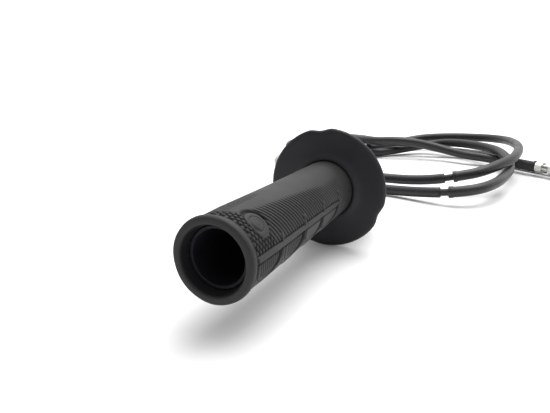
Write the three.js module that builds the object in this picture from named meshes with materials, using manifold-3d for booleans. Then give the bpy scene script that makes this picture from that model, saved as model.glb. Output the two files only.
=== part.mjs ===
// A motorcycle twist throttle: a rubber grip with its flange on a throttle tube, the split cable
// housing behind it, and the pull and return cables with their elbows, boots, sleeves and adjusters.
// Millimetres, +Z up. +Y runs along the handlebar from the open outboard end towards the housing.
import * as THREE from 'three';
import { mergeVertices } from 'three/addons/utils/BufferGeometryUtils.js';
import Module from 'manifold-3d';

const wasm = await Module();
wasm.setup();

// ---- Driving dimensions -------------------------------------------------------------------------

const GAP = 0.3;                 // clearance between touching pieces
const BAR_SEGMENTS = 40;         // facets of the pieces turned about the handlebar
const SMALL_SEGMENTS = 12;       // facets of small turned pieces

const BAR_RADIUS = 11.1;         // 22.2 mm handlebar
const FLANGE_RADIUS = 32.4;
const AXIS_HEIGHT = FLANGE_RADIUS;   // the part lies on the flange's rim

const GRIP_LENGTH = 118.6;
const GRIP_BORE = 13.05;
const FLANGE_SEGMENTS = 60;
const NOTCH_COUNT = 3;
const NOTCH_FIRST_ANGLE = THREE.MathUtils.degToRad(98);
const NOTCH_HALF_ANGLE = THREE.MathUtils.degToRad(13);
const NOTCH_DEPTH = 1.3;
const NOTCH_ROOT_RADIUS = 27;    // the notches fade out towards this radius

const TUBE_BORE = BAR_RADIUS + 0.2;
const TUBE_RADIUS = 12.7;
const TUBE_START = 5;
const TUBE_END = 146;

const PULLEY_PLANE = 138;        // the wires and the cable ports lie in this plane
const PULLEY_RADIUS = 17.2;
const PULLEY_HALF_WIDTH = 5.5;
const WIRE_WRAP_RADIUS = 15.5;   // the wire's centreline round the pulley
const WIRE_RADIUS = 0.8;
const BARREL_RADIUS = 2.2;
const BARREL_LENGTH = 7.4;
const PULL_BARREL_ANGLE = THREE.MathUtils.degToRad(-60);
const RETURN_BARREL_ANGLE = THREE.MathUtils.degToRad(0);

const WASHER = { inner: 13.1, outer: 18, start: 124.6, end: 125.8 };

const DRUM = { start: 126.2, end: 149.3, radius: 21.5, cavityStart: 129, cavityEnd: 146.5, cavityRadius: 18.6 };
const DRUM_DOOR_RADIUS = 13.25;  // where the tube enters the drum
const CLAMP = { band: 14.8, halfWidth: 7.5, halfHeight: 22.5, end: 161, chamfer: 2.5 };
const CLAMP_TILT = THREE.MathUtils.degToRad(36);   // the clamp's ears lean from the port side, over the bar
const CLAMP_BORE = BAR_RADIUS + 0.1;
const SPLIT_GAP = 0.3;

const SCREW = { height: 17.9, plane: 155.2, shank: 2.45, head: 4.2, headLength: 4.6, tip: 6.3, socket: 2.3 };
const SCREW_CLEARANCE = 2.75;

const PORT_HEIGHT = 6.4;         // cable ports sit this far above and below the bar's axis
const PORT_BOSS = { radius: 5.6, face: -26.5, hole: 3.4 };
const ELBOW = { stub: 3.1, pipe: 4, bore: 1.3, stubEnd: -20.8, shoulder: -31.8, bend: 7.2, end: 150.6 };
const ELBOW_NUT = { start: -26.8, length: 2.9, cornerRadius: 6.2 };

const NEAR_SLEEVE_RADIUS = 3.6;
const CONDUIT_RADIUS = 2.4;
const FAR_SLEEVE_RADIUS = 3.7;
const CORD_SIDES = 8;
const SLEEVE_STEP = 13;          // length of one facet of a sleeve
const NOTCH_LENGTH = 6;          // bare conduit between the two sleeves

// Along the straight far end of a cable, measured from the end of its outer sleeve.
const FAR_HEADING = THREE.MathUtils.degToRad(-28);
const FAR_BOOT = { start: 0.8, lipStart: 14, end: 16.8, radius: 3.8, lip: 4.6, bore: 3.35 };
const FERRULE = { start: 9, end: 40, radius: 3, bore: 1.5 };
const INNER_NUT = { start: 17.2, length: 5.8, cornerRadius: 4.9 };
const OUTER_NUT = { start: 28.6, length: 5, cornerRadius: 5.4 };
const NUT_BORE = FERRULE.radius + GAP;
const NIPPLE = { radius: 2.4, length: 5 };

// The two cables. Each route is laid by hand from the elbow's mouth to the end of the outer sleeve:
// it falls to the surface, runs round one loose loop and comes back beside the other cable.
// x, y and z start from the bar's axis, the outboard end and the surface that the part lies on.
const CABLES = {
  return: {
    portHeight: PORT_HEIGHT,
    barrelAngle: RETURN_BARREL_ANGLE,
    wrap: 1,
    nearSleeve: 169,
    wireShown: 14,
    wireInside: 24,
    route: [
      [-39, 151, 38.8], [-39, 163, 38.3], [-38.8, 180, 35.6], [-37.9, 200, 29], [-35.3, 220, 20.3],
      [-29, 238, 12.8], [-18, 251, 8.8], [-3, 257, 7.2], [14, 256, 8], [32, 255.5, 10.4], [47, 257, 13.8],
      [61, 264, 16.8], [71, 278, 19.4], [79, 299, 21.1], [81.5, 325, 21.8], [79.8, 352, 21.7],
      [74.5, 375, 20.7], [66, 396, 19], [52, 411, 17.2], [32, 417.5, 15.8], [8, 419.5, 14], [-13, 416.5, 11.6],
      [-30, 407, 8.4], [-45, 393, 5.6], [-60, 376, 4.3], [-75, 360, 4], [-92, 351.5, 4], [-108.5, 353, 4],
      [-120, 364, 4.1], [-123, 379, 4.4], [-118, 392.5, 5.2], [-105.5, 401, 6.9], [-90.5, 398.5, 9.5],
      [-78.5, 388, 11.6], [-67, 377, 13.3], [-56, 367, 14.5], [-43, 361.5, 15.5], [-28, 363.5, 16.6],
      [-12, 369.5, 15.6], [4, 373.5, 12.8], [21, 373, 9.6], [38, 368.5, 7.9], [53, 367, 7.2], [65, 363, 6.9],
      [74, 358.3, 7.2], [81, 354.7, 7.5],
    ],
  },
  pull: {
    portHeight: -PORT_HEIGHT,
    barrelAngle: PULL_BARREL_ANGLE,
    wrap: -1,
    nearSleeve: 149,
    wireShown: 32,
    wireInside: 4,
    route: [
      [-39, 151, 26], [-39, 162, 25.3], [-38.7, 178, 21.8], [-37.2, 195, 15.8], [-32.3, 211, 10],
      [-23, 225.5, 6.2], [-9, 234.5, 4.4], [5, 235.5, 4.2], [18, 233, 5.2], [30, 230.4, 6.6], [41, 228.4, 8.2],
      [54, 229, 10.2], [65.2, 236, 11.7], [73.2, 252, 12.5], [77.4, 277, 12.7], [78.4, 303, 12.9],
      [75.5, 328, 13.5], [70, 347, 14.7], [62.5, 363, 15.2], [52, 376.5, 14.8], [40, 386, 14.2],
      [27, 393.5, 13.5], [12, 401, 11.4], [-5, 400.5, 8.2], [-20, 390.5, 5.8], [-32, 377, 4.5], [-43, 364, 4.1],
      [-57, 350, 4], [-76, 340.5, 4], [-98, 338.5, 4], [-118, 346, 4], [-131, 361.5, 4], [-133.5, 381, 4.1],
      [-126.5, 399, 4.5], [-111.5, 410.5, 5.6], [-93, 410, 7.6], [-77.5, 399.5, 9.9], [-63.5, 386.5, 12],
      [-50, 378, 12.8], [-35, 376.5, 13.1], [-22, 380, 12.9], [-9, 385, 11.5], [5, 388, 8.9], [20, 391.5, 5.9],
      [34, 395.5, 4.6], [46.5, 394.5, 4.3], [57.5, 387.5, 4.1], [69, 377, 4], [83, 366.5, 4],
      [97.5, 357.6, 4.2], [106, 352.8, 4.9], [112, 349.6, 5.5], [118, 346.4, 5.7],
    ],
  },
};

// ---- Materials ----------------------------------------------------------------------------------

const finish = (color, roughness, metalness) => new THREE.MeshStandardMaterial({ color, roughness, metalness });
const MATERIAL = {
  gripRubber: finish(0x363638, 0.75, 0),
  flangeRubber: finish(0x2e2f33, 0.7, 0),
  tubePlastic: finish(0x1b1c20, 0.5, 0),
  washerPlastic: finish(0xd8d6cc, 0.4, 0),
  housingAlloy: finish(0x2a2b2e, 0.45, 0.6),
  zinc: finish(0xc4c4c0, 0.3, 1),
  steel: finish(0xa9abad, 0.35, 1),
  brass: finish(0xb59a55, 0.35, 1),
  sleevePlastic: finish(0x28282b, 0.5, 0),
  conduitPlastic: finish(0x1c1c1e, 0.55, 0),
  bootRubber: finish(0x1f1f21, 0.8, 0),
};

// ---- Solids -------------------------------------------------------------------------------------

// A geometry with its shared vertices merged and its faces pointing out.
function closed(geometry) {
  const bare = geometry.index ? geometry.toNonIndexed() : geometry.clone();
  bare.deleteAttribute('normal');
  bare.deleteAttribute('uv');
  const merged = mergeVertices(bare, 1e-3);
  const position = merged.attributes.position;
  const index = merged.index.array;
  const corner = [new THREE.Vector3(), new THREE.Vector3(), new THREE.Vector3()];
  const kept = [];
  let volume = 0;
  for (let i = 0; i < index.length; i += 3) {
    const [a, b, c] = [index[i], index[i + 1], index[i + 2]];
    if (a === b || b === c || c === a) continue;
    kept.push(a, b, c);
    [a, b, c].forEach((vertex, k) => corner[k].fromBufferAttribute(position, vertex));
    volume += corner[0].dot(corner[1].cross(corner[2]));
  }
  merged.setIndex(volume < 0 ? kept.reverse() : kept);
  return merged;
}

function toManifold(geometry) {
  const solid = closed(geometry);
  return new wasm.Manifold(new wasm.Mesh({
    numProp: 3,
    vertProperties: Float32Array.from(solid.attributes.position.array),
    triVerts: Uint32Array.from(solid.index.array),
  }));
}

function toGeometry(manifold) {
  const mesh = manifold.getMesh();
  const geometry = new THREE.BufferGeometry();
  geometry.setAttribute('position', new THREE.BufferAttribute(Float32Array.from(mesh.vertProperties), 3));
  geometry.setIndex(new THREE.BufferAttribute(Uint32Array.from(mesh.triVerts), 1));
  return geometry;
}

// A closed profile of [radius, height] points turned about Y.
function turned(profile, segments = BAR_SEGMENTS) {
  const points = [...profile, profile[0]].map(([radius, height]) => new THREE.Vector2(radius, height));
  return new THREE.LatheGeometry(points, segments);
}

// A round washer, bush or pipe about Y, from start to end.
function ring(inner, outer, start, end, segments = BAR_SEGMENTS) {
  return turned([[inner, start], [outer, start], [outer, end], [inner, end]], segments);
}

function rod(radius, start, end, segments = SMALL_SEGMENTS) {
  return new THREE.CylinderGeometry(radius, radius, end - start, segments).translate(0, (start + end) / 2, 0);
}

// Turns a geometry from the Y axis to the X axis.
const alongX = (geometry) => geometry.rotateZ(-Math.PI / 2);

function hexNut(cornerRadius, bore, start, length) {
  const body = toManifold(rod(cornerRadius, start, start + length, 6));
  return body.subtract(toManifold(rod(bore, start - 1, start + length + 1)));
}

// ---- Pieces turned about the bar ----------------------------------------------------------------

function gripSleeve() {
  return turned([
    [13.9, 0.5], [14.6, 0], [16.6, 0], [17.3, 0.4], [17.6, 1.4], [17.6, 2.8], [17.2, 3.5], [16.6, 4.1], [16.9, 5],
    [16.9, 20], [16.5, 36], [16, 56], [15.5, 84], [15.3, 104], [15.2, GRIP_LENGTH], [GRIP_BORE, GRIP_LENGTH],
    [GRIP_BORE, 2.8], [13.9, 2.1],
  ]);
}

// How deep the flange's rim is cut in at an angle about the bar: shallow notches, evenly spaced.
function notchDepth(angle) {
  const spacing = 2 * Math.PI / NOTCH_COUNT;
  const turns = (angle - NOTCH_FIRST_ANGLE) / spacing;
  const offset = Math.abs(turns - Math.round(turns)) * spacing;
  return offset < NOTCH_HALF_ANGLE ? NOTCH_DEPTH * (1 + Math.cos(Math.PI * offset / NOTCH_HALF_ANGLE)) / 2 : 0;
}

function gripFlange() {
  const geometry = turned([
    [GRIP_BORE, 119.2], [16.1, 119.2], [16.1, 116.1], [16.8, 115.6], [17.9, 116.1], [20.5, 117.2], [24.5, 117.6],
    [29.8, 117.9], [31.5, 118.2], [32.2, 118.9], [FLANGE_RADIUS, 119.8], [32.1, 120.7], [31.2, 121.2],
    [20, 121.4], [17.6, 122.2], [17, 124.2], [GRIP_BORE, 124.2],
  ], FLANGE_SEGMENTS);
  const position = geometry.attributes.position;
  for (let i = 0; i < position.count; i += 1) {
    const x = position.getX(i);
    const z = position.getZ(i);
    const radius = Math.hypot(x, z);
    const fade = THREE.MathUtils.smoothstep(radius, NOTCH_ROOT_RADIUS, FLANGE_RADIUS);
    const scale = 1 - notchDepth(Math.atan2(z, x)) * fade / radius;
    position.setXYZ(i, x * scale, position.getY(i), z * scale);
  }
  return geometry;
}

// A barrel or its pocket in the pulley, lying along the bar at the wires' wrap radius.
function barrelShape(angle, radius, length) {
  const shape = rod(radius, PULLEY_PLANE - length / 2, PULLEY_PLANE + length / 2, 16);
  return shape.translate(WIRE_WRAP_RADIUS * Math.cos(angle), 0, WIRE_WRAP_RADIUS * Math.sin(angle));
}

function throttleTube() {
  const pulleyStart = PULLEY_PLANE - PULLEY_HALF_WIDTH;
  const pulleyEnd = PULLEY_PLANE + PULLEY_HALF_WIDTH;
  const grooveRoot = WIRE_WRAP_RADIUS - WIRE_RADIUS - GAP;
  const turnedTube = turned([
    [TUBE_BORE, TUBE_START], [TUBE_RADIUS - 0.3, TUBE_START], [TUBE_RADIUS, TUBE_START + 0.4],
    [TUBE_RADIUS, pulleyStart], [PULLEY_RADIUS, pulleyStart], [PULLEY_RADIUS, PULLEY_PLANE - 1.6],
    [grooveRoot, PULLEY_PLANE - 1.1], [grooveRoot, PULLEY_PLANE + 1.1], [PULLEY_RADIUS, PULLEY_PLANE + 1.6],
    [PULLEY_RADIUS, pulleyEnd], [TUBE_RADIUS, pulleyEnd], [TUBE_RADIUS, TUBE_END], [TUBE_BORE, TUBE_END],
  ]);
  let tube = toManifold(turnedTube);
  for (const { barrelAngle } of Object.values(CABLES)) {
    tube = tube.subtract(toManifold(barrelShape(barrelAngle, BARREL_RADIUS + GAP, BARREL_LENGTH + 2 * GAP)));
  }
  return toGeometry(tube);
}

// ---- Housing ------------------------------------------------------------------------------------

// Leans a geometry over about the bar, from upright to the plane in which the housing splits.
const tilted = (geometry) => geometry.rotateY(-CLAMP_TILT);

function clampBlock() {
  const { halfWidth: w, halfHeight: h, chamfer: c, end } = CLAMP;
  const outline = new THREE.Shape([
    [-w + c, -h], [w - c, -h], [w, -h + c], [w, h - c], [w - c, h], [-w + c, h], [-w, h - c], [-w, -h + c],
  ].map(([x, z]) => new THREE.Vector2(x, z)));
  const depth = end - DRUM.end + 2;
  const ears = new THREE.ExtrudeGeometry(outline, { depth, bevelEnabled: false });
  ears.rotateX(Math.PI / 2).translate(0, end, 0);
  return toManifold(tilted(ears)).add(toManifold(rod(CLAMP.band, end - depth, end, BAR_SEGMENTS)));
}

function housingBody() {
  let body = toManifold(rod(DRUM.radius, DRUM.start, DRUM.end, BAR_SEGMENTS)).add(clampBlock());
  for (const height of [PORT_HEIGHT, -PORT_HEIGHT]) {
    const boss = alongX(rod(PORT_BOSS.radius, PORT_BOSS.face, -15));
    body = body.add(toManifold(boss.translate(0, PULLEY_PLANE, height)));
  }
  const cavity = turned([
    [0, DRUM.start - 1], [DRUM_DOOR_RADIUS, DRUM.start - 1], [DRUM_DOOR_RADIUS, DRUM.cavityStart],
    [DRUM.cavityRadius, DRUM.cavityStart], [DRUM.cavityRadius, DRUM.cavityEnd], [CLAMP_BORE, DRUM.cavityEnd],
    [CLAMP_BORE, CLAMP.end + 1], [0, CLAMP.end + 1],
  ]);
  body = body.subtract(toManifold(cavity));
  for (const height of [PORT_HEIGHT, -PORT_HEIGHT]) {
    const hole = alongX(rod(PORT_BOSS.hole, PORT_BOSS.face - 1, -14));
    body = body.subtract(toManifold(hole.translate(0, PULLEY_PLANE, height)));
  }
  for (const height of [SCREW.height, -SCREW.height]) {
    const hole = alongX(rod(SCREW_CLEARANCE, -CLAMP.halfWidth - 1, SCREW.tip + 0.6));
    body = body.subtract(toManifold(tilted(hole.translate(0, SCREW.plane, height))));
  }
  return body;
}

// The half of the housing on one side of the split plane; side is -1 or 1.
function housingHalf(body, side) {
  const size = 100;
  const half = new THREE.BoxGeometry(size, 2 * size, size);
  half.translate(side * (size + SPLIT_GAP) / 2, PULLEY_PLANE, 0);
  return toGeometry(body.intersect(toManifold(tilted(half))));
}

function clampScrew(height) {
  const seat = -CLAMP.halfWidth - GAP;
  const top = seat - SCREW.headLength;
  const shank = toManifold(alongX(rod(SCREW.shank, seat - 0.5, SCREW.tip)));
  const head = toManifold(alongX(rod(SCREW.head, top, seat)));
  const socket = toManifold(alongX(rod(SCREW.socket, top - 1, top + 2.6, 6)));
  return tilted(toGeometry(shank.add(head).subtract(socket)).translate(0, SCREW.plane, height));
}

// ---- Cables -------------------------------------------------------------------------------------

function circle(radius, sides) {
  const angles = Array.from({ length: sides }, (_, i) => 2 * Math.PI * i / sides);
  return angles.map((angle) => new THREE.Vector2(radius * Math.cos(angle), radius * Math.sin(angle)));
}

// A round bar, or a pipe when bore is given, along a curve.
function swept(curve, radius, sides, steps, bore = 0) {
  const section = new THREE.Shape(circle(radius, sides));
  if (bore > 0) section.holes.push(new THREE.Path(circle(bore, sides)));
  return new THREE.ExtrudeGeometry(section, { steps, extrudePath: curve, bevelEnabled: false });
}

// The stretch of a curve between two distances along it.
class Stretch extends THREE.Curve {
  constructor(curve, start, end) {
    super();
    this.curve = curve;
    this.length = curve.getLength();
    this.start = start;
    this.end = end;
  }

  getPoint(t, target = new THREE.Vector3()) {
    const distance = THREE.MathUtils.lerp(this.start, this.end, t);
    return this.curve.getPointAt(Math.min(distance / this.length, 1), target);
  }
}

// The centreline of a plated elbow: out of the port along -X, a quarter bend, then along +Y.
class ElbowLine extends THREE.Curve {
  constructor(height) {
    super();
    this.height = height;
    this.bendLength = ELBOW.bend * Math.PI / 2;
    this.total = this.bendLength + ELBOW.end - PULLEY_PLANE - ELBOW.bend;
  }

  getPoint(t, target = new THREE.Vector3()) {
    const distance = t * this.total;
    const angle = Math.min(distance / this.bendLength, 1) * Math.PI / 2;
    const straight = Math.max(distance - this.bendLength, 0);
    const x = ELBOW.shoulder - ELBOW.bend * Math.sin(angle);
    const y = PULLEY_PLANE + ELBOW.bend * (1 - Math.cos(angle)) + straight;
    return target.set(x, y, this.height);
  }
}

function elbow(height) {
  const pipe = toManifold(swept(new ElbowLine(height), ELBOW.pipe, 14, 8, ELBOW.bore));
  const stubShape = alongX(ring(ELBOW.bore, ELBOW.stub, ELBOW.shoulder - 0.2, ELBOW.stubEnd, SMALL_SEGMENTS));
  return toGeometry(pipe.add(toManifold(stubShape.translate(0, PULLEY_PLANE, height))));
}

function elbowNut(height) {
  const nut = toGeometry(hexNut(ELBOW_NUT.cornerRadius, PORT_BOSS.hole, 0, ELBOW_NUT.length));
  return nut.rotateZ(Math.PI / 2).translate(ELBOW_NUT.start, PULLEY_PLANE, height);
}

// The wire inside the housing: from the elbow's stub to the pulley, then round it to its barrel.
function wrappedWire({ portHeight, barrelAngle, wrap }) {
  const port = new THREE.Vector2(ELBOW.stubEnd + 0.5, portHeight);
  const tangent = port.angle() - wrap * Math.acos(WIRE_WRAP_RADIUS / port.length());
  const barrelClearance = (BARREL_RADIUS + GAP) / WIRE_WRAP_RADIUS;
  const turn = 2 * Math.PI;
  const sweep = ((wrap * (tangent - barrelAngle)) % turn + turn) % turn - barrelClearance;
  const path = new THREE.CurvePath();
  const onPulley = (angle) => new THREE.Vector3(
    WIRE_WRAP_RADIUS * Math.cos(angle), PULLEY_PLANE, WIRE_WRAP_RADIUS * Math.sin(angle));
  const bends = 12;
  const points = [new THREE.Vector3(port.x, PULLEY_PLANE, port.y)];
  for (let i = 0; i <= bends; i += 1) points.push(onPulley(tangent - wrap * sweep * i / bends));
  for (let i = 1; i < points.length; i += 1) path.add(new THREE.LineCurve3(points[i - 1], points[i]));
  return swept(path, WIRE_RADIUS, 6, 16);
}

// ---- Assembly -----------------------------------------------------------------------------------

const part = new THREE.Group();
const onBar = new THREE.Group();      // pieces placed from the bar's axis
onBar.position.z = AXIS_HEIGHT;
const onSurface = new THREE.Group();  // pieces placed from the surface that the part lies on
part.add(onBar, onSurface);

function place(group, name, geometry, material) {
  const mesh = new THREE.Mesh(closed(geometry), material);
  mesh.name = name;
  group.add(mesh);
  return mesh;
}

place(onBar, 'grip_sleeve', gripSleeve(), MATERIAL.gripRubber);
place(onBar, 'grip_flange', gripFlange(), MATERIAL.flangeRubber);
place(onBar, 'throttle_tube', throttleTube(), MATERIAL.tubePlastic);
const washer = ring(WASHER.inner, WASHER.outer, WASHER.start, WASHER.end);
place(onBar, 'bearing_washer', washer, MATERIAL.washerPlastic);

const housing = housingBody();
place(onBar, 'housing_rear', housingHalf(housing, -1), MATERIAL.housingAlloy);
place(onBar, 'housing_front', housingHalf(housing, 1), MATERIAL.housingAlloy);
place(onBar, 'clamp_screw_upper', clampScrew(SCREW.height), MATERIAL.steel);
place(onBar, 'clamp_screw_lower', clampScrew(-SCREW.height), MATERIAL.steel);

const cordMeshes = [];

for (const [name, cable] of Object.entries(CABLES)) {
  place(onBar, `${name}_elbow`, elbow(cable.portHeight), MATERIAL.zinc);
  place(onBar, `${name}_elbow_nut`, elbowNut(cable.portHeight), MATERIAL.zinc);
  place(onBar, `${name}_barrel`, barrelShape(cable.barrelAngle, BARREL_RADIUS, BARREL_LENGTH), MATERIAL.brass);
  place(onBar, `${name}_wire_inner`, wrappedWire(cable), MATERIAL.steel);

  const route = new THREE.CatmullRomCurve3(cable.route.map((point) => new THREE.Vector3(...point)));
  route.arcLengthDivisions = 2000;
  const length = route.getLength();
  const farSleeveStart = cable.nearSleeve + NOTCH_LENGTH;
  const stretch = (start, end, radius, bore = 0) => {
    const steps = Math.max(2, Math.round((end - start) / SLEEVE_STEP));
    return swept(new Stretch(route, start, end), radius, CORD_SIDES, steps, bore);
  };
  const bootLength = 15;
  const bootBore = NEAR_SLEEVE_RADIUS + GAP + 0.1;
  const farEnd = new THREE.Group();   // its Y axis runs out along the cable's straight end
  farEnd.position.copy(route.getPointAt(1));
  farEnd.rotation.z = FAR_HEADING - Math.PI / 2;
  onSurface.add(farEnd);

  const boot = turned([
    [FAR_BOOT.bore, FAR_BOOT.start], [FAR_BOOT.radius, FAR_BOOT.start], [FAR_BOOT.radius, FAR_BOOT.lipStart],
    [FAR_BOOT.lip, FAR_BOOT.lipStart + 0.8], [FAR_BOOT.lip, FAR_BOOT.end], [FAR_BOOT.bore, FAR_BOOT.end],
  ], SMALL_SEGMENTS);
  const ferrule = ring(FERRULE.bore, FERRULE.radius, FERRULE.start, FERRULE.end, SMALL_SEGMENTS);
  const innerNut = hexNut(INNER_NUT.cornerRadius, NUT_BORE, INNER_NUT.start, INNER_NUT.length);
  const outerNut = hexNut(OUTER_NUT.cornerRadius, NUT_BORE, OUTER_NUT.start, OUTER_NUT.length);
  const wireEnd = FERRULE.end + cable.wireShown;
  const wire = rod(WIRE_RADIUS, FERRULE.end - cable.wireInside, wireEnd, CORD_SIDES);
  const nipple = rod(NIPPLE.radius, -NIPPLE.length / 2, NIPPLE.length / 2, 16).rotateX(Math.PI / 2);
  nipple.translate(0, wireEnd + GAP + NIPPLE.radius, 0);

  cordMeshes.push(
    place(onSurface, `${name}_boot`, stretch(0.2, bootLength, bootBore + 1.1, bootBore), MATERIAL.bootRubber),
    place(onSurface, `${name}_near_sleeve`, stretch(0, cable.nearSleeve, NEAR_SLEEVE_RADIUS), MATERIAL.sleevePlastic),
    place(onSurface, `${name}_conduit`, stretch(cable.nearSleeve + GAP, farSleeveStart - GAP, CONDUIT_RADIUS),
      MATERIAL.conduitPlastic),
    place(onSurface, `${name}_far_sleeve`, stretch(farSleeveStart, length, FAR_SLEEVE_RADIUS), MATERIAL.sleevePlastic),
    place(farEnd, `${name}_far_boot`, boot, MATERIAL.bootRubber),
    place(farEnd, `${name}_ferrule`, ferrule, MATERIAL.zinc),
    place(farEnd, `${name}_inner_nut`, toGeometry(innerNut), MATERIAL.zinc),
    place(farEnd, `${name}_outer_nut`, toGeometry(outerNut), MATERIAL.zinc),
    place(farEnd, `${name}_wire_end`, wire, MATERIAL.steel),
    place(farEnd, `${name}_nipple`, nipple, MATERIAL.brass),
  );
}

// The origin is the middle of the underside of everything but the cables and what is on them.
part.updateMatrixWorld(true);
const box = new THREE.Box3();
part.traverse((object) => {
  if (object.isMesh && !cordMeshes.includes(object)) box.expandByObject(object, true);
});
const middle = box.getCenter(new THREE.Vector3());
part.position.set(-middle.x, -middle.y, -box.min.z);

export default part;
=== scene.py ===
"""The looks of a motorcycle twist throttle and its two cables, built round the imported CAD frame."""

import math

import bpy
import bmesh
import numpy as np
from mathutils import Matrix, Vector


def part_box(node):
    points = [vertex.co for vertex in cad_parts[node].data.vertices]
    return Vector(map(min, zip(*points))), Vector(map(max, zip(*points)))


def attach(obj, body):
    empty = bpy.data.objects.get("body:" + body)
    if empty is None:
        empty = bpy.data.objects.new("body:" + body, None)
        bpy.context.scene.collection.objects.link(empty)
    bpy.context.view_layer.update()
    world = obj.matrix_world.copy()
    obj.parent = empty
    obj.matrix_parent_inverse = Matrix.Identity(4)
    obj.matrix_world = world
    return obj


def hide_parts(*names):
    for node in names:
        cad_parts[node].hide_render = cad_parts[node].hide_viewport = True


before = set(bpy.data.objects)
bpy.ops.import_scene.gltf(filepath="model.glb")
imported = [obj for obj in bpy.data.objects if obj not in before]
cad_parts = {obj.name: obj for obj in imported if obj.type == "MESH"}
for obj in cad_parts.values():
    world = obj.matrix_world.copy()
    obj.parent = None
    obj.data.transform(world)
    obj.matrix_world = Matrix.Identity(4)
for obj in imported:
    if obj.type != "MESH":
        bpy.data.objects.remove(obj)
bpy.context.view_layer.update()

# ---- Places and sizes, in millimetres from the bar's axis and the grip's outboard end ----------

MM = 0.001
grip_low, grip_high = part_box("grip_sleeve")
BAR_X = (grip_low.x + grip_high.x) / 2
BAR_Z = (grip_low.z + grip_high.z) / 2
OUTBOARD_Y = grip_low.y

BODY_START = 4.9
GRIP_LENGTH = 118.6
GRIP_BORE = 13.05
FLANGE_RADIUS = 32.4
NOTCH = {"count": 3, "first": 98, "half_angle": 13, "depth": 1.3, "root_radius": 27}
BAR_BORE = 11.3
TUBE_RADIUS = 12.7
TUBE_START = 5
TUBE_END = 146
PULLEY_PLANE = 138
PULLEY_HALF = 5.5
PULLEY_RIM = 17.2
WIRE_WRAP_RADIUS = 15.5
BARREL_ANGLES = {"pull": -60, "return": 0}

DRUM = {"start": 126.2, "end": 149.3, "radius": 21.5, "cavity": (129, 146.5, 18.6), "door": 13.25}
CLAMP = {"band": 14.8, "half_width": 7.5, "half_height": 22.5, "end": 161, "corner": 2.5, "bore": 11.2}
CLAMP_TILT = math.radians(36)       # the clamp's ears lean from the port side, over the bar
SPLIT_GAP = 0.3
SCREW = {
    "height": 17.9, "plane": 155.2, "shank": 2.45, "head": 4.2, "head_length": 4.6, "tip": 6.3, "socket": 2.3,
    "hole": 2.75,
}
PORT = {"height": 6.4, "radius": 5.6, "face": -26.5, "hole": 3.4}
ELBOW = {"stub_end": -20.8, "shoulder": -31.8, "bend": 7.2, "end": 150.6, "stub": 3.1, "pipe": 4, "bore": 1.3}
ELBOW_NUT = {"start": -26.8, "length": 2.9, "corner": 6.2}

NEAR_SLEEVE_RADIUS = 3.6
CONDUIT_RADIUS = 2.4
FAR_SLEEVE_RADIUS = 3.7
NOTCH_LENGTH = 6
NEAR_BOOT_LENGTH = 15
FAR_HEADING = math.radians(-28)
FAR_BOOT = {"start": 0.8, "lip_start": 14, "end": 16.8, "radius": 3.8, "lip": 4.6, "bore": 3.35}
FERRULE = {"start": 9, "end": 40, "radius": 3, "bore": 1.5}
INNER_NUT = {"start": 17.2, "length": 5.8, "corner": 4.9}
OUTER_NUT = {"start": 28.6, "length": 5, "corner": 5.4}
NIPPLE = {"radius": 2.4, "length": 5}

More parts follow.
